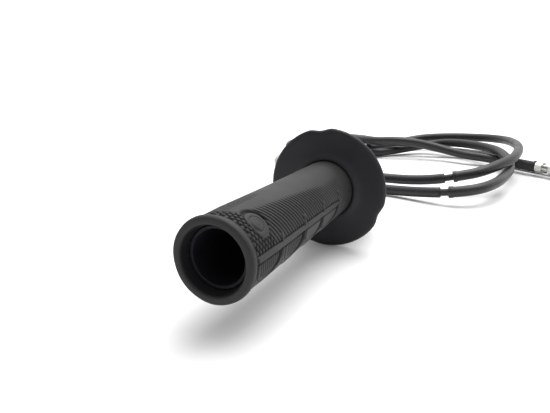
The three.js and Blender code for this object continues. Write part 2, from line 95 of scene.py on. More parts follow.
# Each route is laid from the elbow's mouth to the end of the outer sleeve; z is above the surface.
CABLES = {
    "return": {
        "port_height": PORT["height"],
        "near_sleeve": 169,
        "wire_shown": 14,
        "wire_inside": 24,
        "length": 0.82,
        "route": [
            (-39, 151, 38.8), (-39, 163, 38.3), (-38.8, 180, 35.6), (-37.9, 200, 29), (-35.3, 220, 20.3),
            (-29, 238, 12.8), (-18, 251, 8.8), (-3, 257, 7.2), (14, 256, 8), (32, 255.5, 10.4),
            (47, 257, 13.8), (61, 264, 16.8), (71, 278, 19.4), (79, 299, 21.1), (81.5, 325, 21.8),
            (79.8, 352, 21.7), (74.5, 375, 20.7), (66, 396, 19), (52, 411, 17.2), (32, 417.5, 15.8),
            (8, 419.5, 14), (-13, 416.5, 11.6), (-30, 407, 8.4), (-45, 393, 5.6), (-60, 376, 4.3),
            (-75, 360, 4), (-92, 351.5, 4), (-108.5, 353, 4), (-120, 364, 4.1), (-123, 379, 4.4),
            (-118, 392.5, 5.2), (-105.5, 401, 6.9), (-90.5, 398.5, 9.5), (-78.5, 388, 11.6),
            (-67, 377, 13.3), (-56, 367, 14.5), (-43, 361.5, 15.5), (-28, 363.5, 16.6),
            (-12, 369.5, 15.6), (4, 373.5, 12.8), (21, 373, 9.6), (38, 368.5, 7.9), (53, 367, 7.2),
            (65, 363, 6.9), (74, 358.3, 7.2), (81, 354.7, 7.5),
        ],
    },
    "pull": {
        "port_height": -PORT["height"],
        "near_sleeve": 149,
        "wire_shown": 32,
        "wire_inside": 4,
        "length": 0.88,
        "route": [
            (-39, 151, 26), (-39, 162, 25.3), (-38.7, 178, 21.8), (-37.2, 195, 15.8), (-32.3, 211, 10),
            (-23, 225.5, 6.2), (-9, 234.5, 4.4), (5, 235.5, 4.2), (18, 233, 5.2), (30, 230.4, 6.6),
            (41, 228.4, 8.2), (54, 229, 10.2), (65.2, 236, 11.7), (73.2, 252, 12.5), (77.4, 277, 12.7),
            (78.4, 303, 12.9), (75.5, 328, 13.5), (70, 347, 14.7), (62.5, 363, 15.2), (52, 376.5, 14.8),
            (40, 386, 14.2), (27, 393.5, 13.5), (12, 401, 11.4), (-5, 400.5, 8.2), (-20, 390.5, 5.8),
            (-32, 377, 4.5), (-43, 364, 4.1), (-57, 350, 4), (-76, 340.5, 4), (-98, 338.5, 4),
            (-118, 346, 4), (-131, 361.5, 4), (-133.5, 381, 4.1), (-126.5, 399, 4.5),
            (-111.5, 410.5, 5.6), (-93, 410, 7.6), (-77.5, 399.5, 9.9), (-63.5, 386.5, 12),
            (-50, 378, 12.8), (-35, 376.5, 13.1), (-22, 380, 12.9), (-9, 385, 11.5), (5, 388, 8.9),
            (20, 391.5, 5.9), (34, 395.5, 4.6), (46.5, 394.5, 4.3), (57.5, 387.5, 4.1), (69, 377, 4),
            (83, 366.5, 4), (97.5, 357.6, 4.2), (106, 352.8, 4.9), (112, 349.6, 5.5), (118, 346.4, 5.7),
        ],
    },
}


def on_bar(x, y, z):
    """A point measured from the bar's axis and the outboard end, in the row frame."""
    return np.array([BAR_X + x * MM, OUTBOARD_Y + y * MM, BAR_Z + z * MM])


def on_surface(x, y, z):
    """The same with z measured from the surface that the part lies on."""
    return np.array([BAR_X + x * MM, OUTBOARD_Y + y * MM, z * MM])


# ---- Lines and profiles ------------------------------------------------------------------------


def unit(vectors):
    """The vectors at length 1."""
    return vectors / np.linalg.norm(vectors, axis=-1, keepdims=True)


class Line:
    """A smooth line in space with a square frame at any distance along it. Distances are in mm."""

    def __init__(self, points, side):
        self.points = np.asarray(points, float)
        steps = np.linalg.norm(np.diff(self.points, axis=0), axis=1)
        self.distance = np.concatenate([[0], np.cumsum(steps)]) / MM
        self.tangents = unit(np.gradient(self.points, axis=0))
        normals = [np.asarray(side, float)]
        for tangent in self.tangents:
            level = normals[-1] - tangent * (normals[-1] @ tangent)
            normals.append(unit(level))
        self.normals = np.array(normals[1:])

    @property
    def length(self):
        return self.distance[-1]

    def mixed(self, values, distances):
        return np.stack([np.interp(distances, self.distance, column) for column in values.T], axis=-1)

    def frames(self, distances):
        """Centres, normals and side directions at these distances.
        Past the ends the line goes straight on."""
        distances = np.asarray(distances, float)
        tangents = unit(self.mixed(self.tangents, distances))
        beyond = distances - np.clip(distances, 0, self.length)
        centres = self.mixed(self.points, distances) + tangents * (beyond * MM)[:, None]
        normals = self.mixed(self.normals, distances)
        normals = unit(normals - tangents * np.sum(normals * tangents, axis=1, keepdims=True))
        return centres, normals, np.cross(normals, tangents)


CURVE_STEPS = 16                    # steps of a curve between two of the points it goes through


def straight(start, end, side=(1, 0, 0)):
    return Line([start, end], side)


def through(points):
    """A centripetal curve through the points."""
    points = [np.asarray(point, float) for point in points]
    points = [2 * points[0] - points[1], *points, 2 * points[-1] - points[-2]]
    shares = np.linspace(0, 1, CURVE_STEPS, endpoint=False)[:, None]
    curve = []
    for p0, p1, p2, p3 in zip(points, points[1:], points[2:], points[3:]):
        d0, d1, d2 = (np.sqrt(np.linalg.norm(b - a)) for a, b in ((p0, p1), (p1, p2), (p2, p3)))
        leave = ((p1 - p0) / d0 - (p2 - p0) / (d0 + d1) + (p2 - p1) / d1) * d1
        arrive = ((p2 - p1) / d1 - (p3 - p1) / (d1 + d2) + (p3 - p2) / d2) * d1
        cubic = 2 * p1 - 2 * p2 + leave + arrive
        square = -3 * p1 + 3 * p2 - 2 * leave - arrive
        curve.append(p1 + leave * shares + square * shares**2 + cubic * shares**3)
    return np.vstack([*curve, points[-2][None]])


def rounded(profile, fillet, steps=4):
    """A profile of (radius, distance) points with its corners rounded. Corners on the axis stay."""
    profile = [np.asarray(point, float) for point in profile]
    result = []
    for i, corner in enumerate(profile):
        before = profile[i - 1]
        after = profile[(i + 1) % len(profile)]
        if corner[0] == 0:
            result.append(corner)
            continue
        lengths = [np.linalg.norm(corner - other) for other in (before, after)]
        cut = min(fillet, 0.45 * min(lengths))
        start = corner + (before - corner) * cut / lengths[0]
        end = corner + (after - corner) * cut / lengths[1]
        for share in np.linspace(0, 1, steps + 1):
            result.append((1 - share) ** 2 * start + 2 * share * (1 - share) * corner + share**2 * end)
    return np.array(result)


def spaced(profile, spacing):
    """The profile with points added, so that none lie further apart than the spacing along the line."""
    profile = np.asarray(profile, float)
    closed = profile[:, 0].min() > 0
    following = np.roll(profile, -1, axis=0) if closed else profile[1:]
    result = []
    for start, end in zip(profile, following):
        pieces = max(1, math.ceil(abs(end[1] - start[1]) / spacing))
        result.extend(start + (end - start) * i / pieces for i in range(pieces))
    if not closed:
        result.append(profile[-1])
    return np.array(result)


# ---- Meshes ------------------------------------------------------------------------------------

SHARP_ANGLE = math.radians(35)
BEVEL_ANGLE = math.radians(32)


def add_object(name, mesh):
    made = bpy.data.objects.new(name, mesh)
    bpy.context.scene.collection.objects.link(made)
    return made


def shade(mesh):
    """Smooth shading, broken at the sharp edges."""
    mesh.shade_smooth()
    mesh.set_sharp_from_angle(angle=SHARP_ANGLE)


def outward(points, faces):
    """The faces turned so that they point out of the closed surface."""
    corners = points[faces]
    fans = [np.cross(corners[:, 1] - corners[:, 0], corners[:, 2] - corners[:, 0])]
    fans.append(np.cross(corners[:, 2] - corners[:, 0], corners[:, 3] - corners[:, 0]))
    volume = sum(np.sum(corners[:, 0] * fan) for fan in fans)
    return faces[:, ::-1] if volume < 0 else faces


def turned(name, line, profile, sides, relief=None):
    """A closed piece turned along a line, from a profile of (radius, distance) points in mm.
    relief(angle in degrees, distance, radius) adds to the radius."""
    profile = np.asarray(profile, float)
    closed = profile[:, 0].min() > 0
    degrees = np.arange(sides) * 360 / sides
    radius = np.repeat(profile[:, :1], sides, axis=1)
    if relief is not None:
        added = relief(degrees[None, :], profile[:, 1:], radius)
        radius = np.where(radius > 0, radius + added, 0)
    centres, normals, across = line.frames(profile[:, 1])
    angles = np.radians(degrees)
    sideways = np.sin(angles)[None, :, None] * across[:, None]
    directions = np.cos(angles)[None, :, None] * normals[:, None] + sideways
    points = (centres[:, None] + directions * radius[..., None] * MM).reshape(-1, 3)

    rows = len(profile)
    row = np.arange(rows if closed else rows - 1)[:, None] * sides
    next_row = (row + sides) % (rows * sides)
    column = np.arange(sides)[None, :]
    next_column = (column + 1) % sides
    faces = np.stack([row + column, row + next_column, next_row + next_column, next_row + column], axis=-1)
    faces = outward(points, faces.reshape(-1, 4))

    mesh = bpy.data.meshes.new(name)
    mesh.from_pydata(points.tolist(), [], faces.tolist())
    if not closed:
        work = bmesh.new()
        work.from_mesh(mesh)
        bmesh.ops.remove_doubles(work, verts=work.verts, dist=1e-7)
        work.to_mesh(mesh)
        work.free()
    shade(mesh)
    return add_object(name, mesh)


def applied(piece):
    """Replaces the piece's mesh by what its modifiers make of it."""
    bpy.context.view_layer.update()
    evaluated = piece.evaluated_get(bpy.context.evaluated_depsgraph_get())
    mesh = bpy.data.meshes.new_from_object(evaluated)
    mesh.validate()
    piece.modifiers.clear()
    piece.data = mesh
    return piece


def combined(piece, tool, operation):
    """Joins the tool to the piece, cuts it away or keeps what they share, and removes the tool."""
    modifier = piece.modifiers.new("combine", "BOOLEAN")
    modifier.operation = operation
    modifier.solver = "EXACT"
    modifier.object = tool
    applied(piece)
    bpy.data.objects.remove(tool)
    return piece


def softened(piece, width):
    """Rounds the piece's sharp edges."""
    bevel = piece.modifiers.new("bevel", "BEVEL")
    bevel.width = width * MM
    bevel.segments = 3
    bevel.limit_method = "ANGLE"
    bevel.angle_limit = BEVEL_ANGLE
    bevel.use_clamp_overlap = True
    applied(piece)
    shade(piece.data)
    return piece


def belongs(piece, material, body, slot, *nodes):
    """Gives a piece its material and its body, and hides the CAD nodes that it stands for. The slot is not
    used.
    """
    piece.data.materials.clear()
    piece.data.materials.append(material)
    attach(piece, body)
    if nodes:
        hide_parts(*nodes)
    return piece


def smooth_step(low, high, value):
    share = np.clip((value - low) / (high - low), 0, 1)
    return share * share * (3 - 2 * share)


def plateau(offset, half_width, edge):
    """1 within half_width of zero, and 0 further out than that by more than the edge."""
    return 1 - smooth_step(half_width - edge, half_width + edge, np.abs(offset))


def groove(offset, half_width):
    """1 at zero, falling smoothly to both sides."""
    return np.exp(-((offset / half_width) ** 2))


def hexagon(corner_radius, degrees):
    """The radius of a hexagon at each angle."""
    across = corner_radius * math.cos(math.radians(30))
    return across / np.cos(np.radians(degrees % 60 - 30))


# ---- Materials ---------------------------------------------------------------------------------


class Surface:
    """A material of one Principled shader, fed by noises on the piece's own coordinates."""

    def __init__(self, name, **sockets):
        self.material = bpy.data.materials.new(name)
        self.material.use_nodes = True
        self.nodes = self.material.node_tree.nodes
        self.links = self.material.node_tree.links
        self.shader = self.nodes["Principled BSDF"]
        for socket, value in sockets.items():
            self.shader.inputs[socket.replace("_", " ")].default_value = value
        self.place = self.nodes.new("ShaderNodeTexCoord").outputs["Object"]

    def noise(self, size, detail):
        """A noise whose features are about this many mm across."""
        node = self.nodes.new("ShaderNodeTexNoise")
        node.inputs["Scale"].default_value = 1 / (size * MM)
        node.inputs["Detail"].default_value = detail
        self.links.new(self.place, node.inputs["Vector"])
        return node.outputs["Fac"]

    def attribute(self, name):
        node = self.nodes.new("ShaderNodeAttribute")
        node.attribute_name = name
        return node.outputs["Fac"]

    def between(self, source, low, high, start=0.3, end=0.7):
        """Maps a source from start..end to low..high."""
        node = self.nodes.new("ShaderNodeMapRange")
        node.inputs["From Min"].default_value = start
        node.inputs["From Max"].default_value = end
        node.inputs["To Min"].default_value = low
        node.inputs["To Max"].default_value = high
        self.links.new(source, node.inputs["Value"])
        return node.outputs["Result"]

    def mix(self, factor, first, second):
        """Mixes two colours, or two sources of colour, by a factor."""
        node = self.nodes.new("ShaderNodeMix")
        node.data_type = "RGBA"
        self.links.new(factor, node.inputs["Factor"])
        for socket, colour in ((node.inputs[6], first), (node.inputs[7], second)):
            if isinstance(colour, tuple):
                socket.default_value = (*colour, 1)
            else:
                self.links.new(colour, socket)
        return node.outputs[2]

    def add(self, first, second, weight):
        """first + weight * second."""
        node = self.nodes.new("ShaderNodeMath")
        node.operation = "MULTIPLY_ADD"
        node.inputs[1].default_value = weight
        self.links.new(second, node.inputs[0])
        self.links.new(first, node.inputs[2])
        return node.outputs[0]

    def colour(self, source):
        self.links.new(source, self.shader.inputs["Base Color"])

    def roughness(self, source):
        self.links.new(source, self.shader.inputs["Roughness"])

    def bump(self, source, height):
        """Height in mm of a full swing of the source."""
        node = self.nodes.new("ShaderNodeBump")
        node.inputs["Strength"].default_value = 1
        node.inputs["Distance"].default_value = height * MM
        self.links.new(source, node.inputs["Height"])
        self.links.new(node.outputs["Normal"], self.shader.inputs["Normal"])


def rubber(name, dark, pale, roughness, specular):
    """Moulded rubber: a fine pebbled skin with soft cloudy patches."""
    surface = Surface(name, Specular_IOR_Level=specular)
    cloud = surface.noise(14, detail=4)
    grain = surface.noise(0.35, detail=2)
    surface.colour(surface.mix(surface.between(cloud, 0, 1), dark, pale))
    surface.roughness(surface.between(cloud, roughness - 0.05, roughness + 0.06))
    surface.bump(surface.add(grain, cloud, 0.5), 0.03)
    return surface


def grip_rubber():
    """The grip's rubber, with painted shade in the grooves of its pattern and in its bore, so that its raised
    parts stay paler.
    """
    surface = Surface("grip_rubber", Specular_IOR_Level=0.3)
    cloud = surface.noise(16, detail=4)
    grain = surface.noise(0.4, detail=2)
    depth = surface.attribute("relief")
    base = surface.mix(surface.between(cloud, 0, 1), (0.019, 0.019, 0.02), (0.026, 0.026, 0.026))
    # painted shade: the stored height turns the grooves and the bore towards near black
    surface.colour(surface.mix(surface.between(depth, 1, 0, -0.3, 0), base, (0.004, 0.004, 0.006)))
    surface.roughness(surface.between(cloud, 0.56, 0.68))
    surface.bump(surface.add(grain, cloud, 0.5), 0.03)
    return surface.material


def flange_rubber():
    return rubber("flange_rubber", (0.013, 0.013, 0.016), (0.019, 0.019, 0.022), 0.55, 0.3).material


def boot_rubber():
    return rubber("boot_rubber", (0.012, 0.012, 0.013), (0.02, 0.02, 0.021), 0.62, 0.4).material


def moulded_plastic(name, dark, pale, roughness):
    """Moulded plastic with a faint orange peel and wear in its gloss."""
    surface = Surface(name, Specular_IOR_Level=0.25)
    cloud = surface.noise(9, detail=5)
    peel = surface.noise(0.9, detail=1)
    surface.colour(surface.mix(surface.between(cloud, 0, 1), dark, pale))
    surface.roughness(surface.between(cloud, roughness - 0.06, roughness + 0.08))
    surface.bump(peel, 0.02)
    return surface.material


def extruded_plastic(name, dark, pale, roughness):
    """Extruded plastic tube: satin, with soft scuffs along it."""
    surface = Surface(name, Specular_IOR_Level=0.4)
    cloud = surface.noise(11, detail=5)
    scuff = surface.noise(1.6, detail=4)
    surface.colour(surface.mix(surface.between(scuff, 0, 1), dark, pale))
    wear = surface.add(cloud, scuff, 0.4)
    surface.roughness(surface.between(wear, roughness - 0.07, roughness + 0.1, 0.4, 1))
    surface.bump(scuff, 0.025)
    return surface.material


def painted_alloy():
    """Die-cast alloy under satin black paint, rubbed thin along its edges."""
    surface = Surface("painted_alloy", Specular_IOR_Level=0.5)
    cloud = surface.noise(7, detail=5)
    sand = surface.noise(0.6, detail=3)
    paint = surface.mix(surface.between(cloud, 0, 1), (0.018, 0.018, 0.019), (0.03, 0.03, 0.031))
    edge = surface.nodes.new("ShaderNodeNewGeometry").outputs["Pointiness"]
    rubbed = surface.between(surface.add(edge, sand, 0.08), 0, 0.6, 0.6, 0.68)
    surface.colour(surface.mix(rubbed, paint, (0.22, 0.22, 0.22)))
    surface.links.new(rubbed, surface.shader.inputs["Metallic"])
    surface.roughness(surface.between(cloud, 0.36, 0.5))
    surface.bump(sand, 0.05)
    return surface.material


def plated(name, dull, bright, roughness):
    """Bright plating with cloudy patches and fine tooling marks."""
    surface = Surface(name, Metallic=1)
    cloud = surface.noise(5, detail=5)
    marks = surface.noise(0.5, detail=2)
    surface.colour(surface.mix(surface.between(cloud, 0, 1), dull, bright))
    haze = surface.add(cloud, marks, 0.5)
    surface.roughness(surface.between(haze, roughness - 0.08, roughness + 0.12, 0.5, 1))
    surface.bump(marks, 0.012)
    return surface.material


MATERIALS = {
    "grip_rubber": grip_rubber(),
    "flange_rubber": flange_rubber(),
    "boot_rubber": boot_rubber(),
    # painted shade: the tube's black nylon is coloured darker than the other black plastics, to stand for the
    # shade inside the grip's bore
    "tube_plastic": moulded_plastic("tube_plastic", (0.005, 0.005, 0.009), (0.008, 0.008, 0.013), 0.65),
    "washer_plastic": moulded_plastic("washer_plastic", (0.62, 0.6, 0.54), (0.72, 0.7, 0.64), 0.4),
    "sleeve_plastic": extruded_plastic("sleeve_plastic", (0.012, 0.012, 0.014), (0.019, 0.019, 0.021), 0.42),
    "conduit_plastic": extruded_plastic("conduit_plastic", (0.01, 0.01, 0.011), (0.017, 0.017, 0.018), 0.5),
    "housing_metal": painted_alloy(),
    "screw_steel": plated("screw_steel", (0.42, 0.42, 0.41), (0.6, 0.6, 0.59), 0.3),
    "zinc_plate": plated("zinc_plate", (0.36, 0.36, 0.34), (0.6, 0.6, 0.58), 0.26),
    "wire_steel": plated("wire_steel", (0.36, 0.36, 0.36), (0.55, 0.55, 0.55), 0.32),
    "brass": plated("brass", (0.5, 0.34, 0.13), (0.66, 0.48, 0.2), 0.3),
}

# ---- Camera ------------------------------------------------------------------------------------

CAMERA = {"place": (109.64, -175.19, 114.1), "towards": (-0.4136, 0.8656, -0.2824), "lens": 39.27}


def make_camera():
    """Low and close in front of the grip's open end, looking down along it."""
    data = bpy.data.cameras.new("camera")
    data.sensor_width = 36
    data.lens = CAMERA["lens"]
    data.clip_start = 0.005
    camera = add_object("camera", data)
    camera.location = Vector(on_surface(*CAMERA["place"]))
    camera.rotation_euler = Vector(CAMERA["towards"]).to_track_quat("-Z", "Y").to_euler()
    bpy.context.scene.camera = camera


make_camera()

# ---- Cables ------------------------------------------------------------------------------------

CABLE_STEP = 2.5                    # the longest stretch of a sleeve or casing without a ring of points


def tube_profile(radius, bore, start, end):
    """A hollow tube with rounded lips."""
    corners = [(bore, start), (radius, start), (radius, end), (bore, end)]
    return spaced(rounded(corners, 0.35), CABLE_STEP)


def make_conduit(name, line):
    """The cable's casing, all the way from the elbow into the adjuster."""
    corners = [(0, 0), (CONDUIT_RADIUS, 0), (CONDUIT_RADIUS, line.length), (0, line.length)]
    conduit = turned(f"{name}_casing", line, spaced(rounded(corners, 0.3), CABLE_STEP), 24)
    return belongs(conduit, MATERIALS["conduit_plastic"], "housing", "conduit_plastic", f"{name}_conduit")


def make_sleeves(name, cable, line):
    """A near and a far sleeve over the casing, with a bare notch between them."""
    near_end = cable["near_sleeve"]
    far_start = near_end + NOTCH_LENGTH
    bore = CONDUIT_RADIUS + 0.12
    near = turned(f"{name}_sleeve_near", line, tube_profile(NEAR_SLEEVE_RADIUS, bore, 0.1, near_end), 32)
    belongs(near, MATERIALS["sleeve_plastic"], "housing", "sleeve_plastic", f"{name}_near_sleeve")

    lip = FAR_SLEEVE_RADIUS + 0.35
    far_corners = [
        (bore, far_start + 0.6), (bore + 0.6, far_start), (lip, far_start), (lip, far_start + 2.4),
        (FAR_SLEEVE_RADIUS, far_start + 3.2), (FAR_SLEEVE_RADIUS, line.length), (bore, line.length),
    ]
    far = turned(f"{name}_sleeve_far", line, spaced(rounded(far_corners, 0.3), CABLE_STEP), 32)
    belongs(far, MATERIALS["sleeve_plastic"], "housing", "sleeve_plastic", f"{name}_far_sleeve")
    return [near, far]


def make_near_boot(name, line):
    """A ribbed rubber boot over the elbow's mouth."""
    bore = NEAR_SLEEVE_RADIUS + 0.15
    outer = [(4.95, 0.3), (4.95, 2.4), (4.55, 3)]
    for start in (3.6, 5.8, 8, 10.2):
        outer += [(4.5, start), (4.95, start + 0.5), (4.95, start + 1.2), (4.5, start + 1.7)]
    outer += [(4.3, 12.6), (4.1, NEAR_BOOT_LENGTH)]
    corners = [(bore, 0.3), *outer, (bore, NEAR_BOOT_LENGTH)]
    boot = turned(f"{name}_elbow_boot", line, spaced(rounded(corners, 0.3), 1.5), 40)
    return belongs(boot, MATERIALS["boot_rubber"], "housing", "boot_rubber", f"{name}_boot")


def make_far_boot(name, line):
    """A plain rubber boot with a flared lip, over the end of the sleeve."""
    boot = FAR_BOOT
    corners = [
        (boot["bore"], boot["start"]), (boot["radius"] - 0.15, boot["start"]),
        (boot["radius"], boot["start"] + 1.2), (boot["radius"], boot["lip_start"]),
        (boot["lip"], boot["lip_start"] + 0.8), (boot["lip"], boot["end"]), (boot["bore"], boot["end"]),
    ]
    made = turned(f"{name}_end_boot", line, rounded(corners, 0.35), 40)
    return belongs(made, MATERIALS["boot_rubber"], "housing", "boot_rubber", f"{name}_far_boot")


def thread(start, end, pitch, depth, radius_above):
    """A relief of screw thread between two distances, on what is wider than radius_above."""
    def relief(degrees, distance, radius):
        turn = distance / pitch + degrees / 360
        wave = np.abs(turn % 1 - 0.5) * 2
        fade = smooth_step(start, start + pitch, distance) * (1 - smooth_step(end - pitch, end, distance))
        return np.where(radius > radius_above, -depth * wave * fade, 0)
    return relief


def make_ferrule(name, line):
    """The threaded adjuster that the two nuts run on."""
    start, end, radius, bore = (FERRULE[key] for key in ("start", "end", "radius", "bore"))
    corners = [
        (bore, start), (radius - 0.3, start), (radius, start + 0.5), (radius, end - 2.6),
        (radius - 0.45, end - 2.1), (radius - 0.45, end - 0.5), (radius - 0.8, end), (bore, end),
    ]
    profile = spaced(rounded(corners, 0.15, steps=2), 0.14)
    relief = thread(start + 4, end - 2.6, 1, 0.42, radius - 0.1)
    ferrule = turned(f"{name}_adjuster", line, profile, 48, relief)
    return belongs(ferrule, MATERIALS["zinc_plate"], "housing", "zinc_plate", f"{name}_ferrule")


def hex_nut_profile(start, length, corner, bore):
    """A nut's section with chamfered faces; its flats come from the hexagon relief."""
    across = corner * math.cos(math.radians(30))
    drop = (corner - across) * 0.6
    shares = np.linspace(0, 1, 7)
    chamfer_in = [(across + (corner - across) * share, start + drop * share) for share in shares]
    chamfer_out = [(radius, 2 * start + length - distance) for radius, distance in reversed(chamfer_in)]
    inner_in = [(bore, start + 0.4), (bore + 0.4, start)]
    inner_out = [(bore + 0.4, start + length), (bore, start + length - 0.4)]
    return [*inner_in, *chamfer_in, *chamfer_out, *inner_out]


def make_nut(name, line, size, bore, body, slot, node):
    """A hexagonal nut along a line."""
    start, length, corner = size["start"], size["length"], size["corner"]

    def relief(degrees, distance, radius):
        flats = hexagon(corner, degrees)
        return np.where(radius > bore + 0.5, np.minimum(flats - radius, 0), 0)

    nut = turned(name, line, hex_nut_profile(start, length, corner, bore), 96, relief)
    return belongs(nut, MATERIALS[slot], body, slot, node)


def strands(degrees, distance, radius):
    """Six strands laid in a slow twist."""
    turn = degrees / 60 + distance / 3
    return -0.13 * np.abs(np.cos(np.pi * turn)) ** 3


def make_wire_end(name, cable, line):
    """The stranded wire out of the adjuster, and the nipple cast on it. They move with the wire."""
    start = FERRULE["end"] - cable["wire_inside"]
    end = FERRULE["end"] + cable["wire_shown"]
    corners = [(0, start), (0.8, start), (0.8, end), (0, end)]
    wire = turned(f"{name}_stranded_wire", line, spaced(rounded(corners, 0.1, 2), 0.3), 36, strands)
    belongs(wire, MATERIALS["wire_steel"], f"{name}_wire", "wire_steel", f"{name}_wire_end")

    centre, _, _ = line.frames([end + 0.3 + NIPPLE["radius"]])
    half = Vector((0, 0, NIPPLE["length"] / 2 * MM))
    post = straight(centre[0] - half, centre[0] + half)
    radius, length = NIPPLE["radius"], NIPPLE["length"]
    corners = [
        (0, 0.35), (0.75, 0.35), (1.0, 0), (radius - 0.35, 0), (radius, 0.35),
        (radius, length - 0.35), (radius - 0.35, length), (1.0, length), (0.75, length - 0.35),
        (0, length - 0.35),
    ]
    nipple = turned(f"{name}_cast_nipple", post, rounded(corners, 0.12, 2), 48)
    belongs(nipple, MATERIALS["brass"], f"{name}_wire", "brass", f"{name}_nipple")
    return [wire, nipple]


def make_cable(name, cable):
    line = Line(through([on_surface(*point) for point in cable["route"]]), (0, 0, 1))
    heading = np.array([math.cos(FAR_HEADING), math.sin(FAR_HEADING), 0])
    last = line.points[-1]
    far_line = straight(last, last + heading * 0.1, (0, 0, 1))
    casing_end = last + heading * (FERRULE["start"] + 2) * MM
    casing_line = Line([*line.points, casing_end], (0, 0, 1))
    conduit = make_conduit(name, casing_line)
    sleeves = make_sleeves(name, cable, line)
    nut_bore = FERRULE["radius"] - 0.15
    fittings = [
        make_near_boot(name, line),
        make_far_boot(name, far_line),
        make_ferrule(name, far_line),
        make_nut(f"{name}_nut_inner", far_line, INNER_NUT, nut_bore, "housing", "zinc_plate",
                 f"{name}_inner_nut"),
        make_nut(f"{name}_nut_outer", far_line, OUTER_NUT, nut_bore, "housing", "zinc_plate",
                 f"{name}_outer_nut"),
        *make_wire_end(name, cable, far_line),
    ]


for cable_name, cable_facts in CABLES.items():
    make_cable(cable_name, cable_facts)

# ---- Grip, flange and tube ---------------------------------------------------------------------

BAR_LINE = straight(on_bar(0, 0, 0), on_bar(0, 200, 0))
BRANCHES = (26.7, 51, 74, 95.5)     # where the spine's side branches cross it
HATCHED_PANELS = 2                  # the panels nearest the open end are hatched
RIB_PITCH = 2.33
RIB_SLANT = 0.18                    # how far along the grip a rib moves for each degree round it
DEGREE = 0.295                      # length of one degree of the grip's surface


def rib_valleys(y, degrees, slant, pitch=RIB_PITCH):
    """1 along the bottoms between slanted ribs."""
    turn = (y + slant * degrees) / pitch
    offset = (turn - np.round(turn)) * pitch
    return groove(offset, 0.34)


def add_ribs(height, y, side, spine_edge):
    """Slanted ribs above the spine, crossed by a second set near the open end."""
    upper_edge = np.interp(y, [20, 84], [66, 44])
    below = 1 - smooth_step(upper_edge - 6, upper_edge + 6, side)
    above_spine = smooth_step(spine_edge + 1, spine_edge + 3, side)
    along = 1 - 0.6 * smooth_step(70, 84, y)
    along = along * (1 - smooth_step(98, 105, y)) * smooth_step(5, 6, y)
    knurl_end = 9.5 + np.maximum(95 - side, 0) * 0.13
    crossed = (1 - smooth_step(knurl_end - 1.2, knurl_end + 0.6, y)) * smooth_step(4.8, 5.6, y)
    first = rib_valleys(y, side, RIB_SLANT)
    second = rib_valleys(y, side, -RIB_SLANT)
    crown = smooth_step(84, 92, side) * (1 - smooth_step(112, 120, side)) * (1 - smooth_step(30, 42, y))
    crown = crown * smooth_step(4.8, 5.6, y)
    ribs = -0.8 * first * np.maximum.reduce([below * along, crossed, 0.6 * crown]) * above_spine
    cross = -0.75 * second * crossed * above_spine
    return np.minimum(height, np.minimum(ribs, cross))


def add_panels(height, y, side):
    """Half-oval panels below the spine, each in a groove that is widest on its inboard side."""
    for number, branch in enumerate(BRANCHES):
        centre = branch - 11.4
        along = np.abs(y - centre) / 10.9
        around = np.maximum(-1 - side, 0) / 38
        oval = (along**2.5 + around**2.5) ** 0.4
        below = smooth_step(1.5, -1.5, side)
        inboard = 0.3 + 0.7 * smooth_step(-0.2, 0.7, (y - centre) / 10.9)
        if number < HATCHED_PANELS:
            inside = plateau(oval, 0.76, 0.04) * smooth_step(-1.5, -4, side)
            height = np.minimum(height, -0.4 * rib_valleys(y, side, 0.1, 1.75) * inside)
        ditch = groove(oval - 0.9, 0.11 * inboard)
        ridge = groove(oval - 1.08, 0.05)
        height = height + (0.3 * ridge - 1.9 * inboard * ditch) * below
    return height


def add_spine(height, y, side, offset, half_width):
    """The smooth raised spine and its short side branches."""
    inside = y < 99
    edges = groove(np.abs(offset) - half_width - 1.4, 1.2) * (1 - smooth_step(94, 98, y)) * (y > 5)
    height = height - 0.65 * edges
    spine = plateau(offset, half_width, 0.9) * smooth_step(4.6, 5.6, y) * inside
    for branch in BRANCHES:
        reach = smooth_step(24, 19, side) * smooth_step(-1, 1, side)
        rib = plateau(y - branch - 0.04 * side, 0.8, 0.35) * reach
        slit = plateau(y - branch + 2.1 - 0.04 * side, 0.9, 0.35) * plateau(side - 14, 6, 1)
        height = np.maximum(height - 1.9 * slit, 0.4 * rib + height * (1 - rib))
    return np.maximum(height * (1 - spine), 0.42 * spine + height * (1 - spine))


def add_medallion(height, y, side):
    """A plain oval plate with a raised disc in it."""
    along = y - 15.4
    around = (side - 47) * DEGREE
    oval = np.sqrt((along / 5.5) ** 2 + (around / 6.8) ** 2)
    plate = 1 - smooth_step(0.95, 1.05, oval)
    heavy = smooth_step(-0.1, 0.9, (along + around) / 7)
    height = height * (1 - plate) + 0.06 * plate
    height = height - (0.25 + 0.95 * heavy) * groove(oval - 1, 0.05 + 0.09 * heavy)
    disc = np.hypot(y - 14.7, (side - 46.7) * DEGREE)
    height = height + 0.28 * (1 - smooth_step(2.5, 3, disc))
    height = height - 0.3 * groove(disc - 3.5, 0.4) - 0.12 * groove(disc - 1.5, 0.3)
    return height


def grip_pattern(degrees, y):
    """The height in mm of the moulded pattern; it repeats on the opposite side of the grip."""
    side = (degrees + 50) % 180 - 50
    side, y = np.broadcast_arrays(side, y)
    offset = side - (4 - 0.045 * (y - 5))
    half_width = 3.9 * np.clip((100 - y) / 12, 0, 1) ** 0.6
    height = add_ribs(np.zeros(side.shape), y, side, offset * 0 + side - offset + half_width)
    height = add_panels(height, y, side)
    height = add_medallion(height, y, side)
    height = add_spine(height, y, side, offset, half_width)
    return height * smooth_step(4.6, 5.4, y) * (1 - smooth_step(100, 104, y))


def grip_relief(degrees, distance, radius):
    """The pattern on the outside, and the moulding's slightly uneven end ring."""
    outside = radius > 15
    uneven = 0.06 * np.sin(np.radians(3 * degrees + 20)) + 0.05 * np.sin(np.radians(7 * degrees))
    ring = (distance < 4) * uneven
    return np.where(outside, grip_pattern(degrees, distance) + ring, 0)


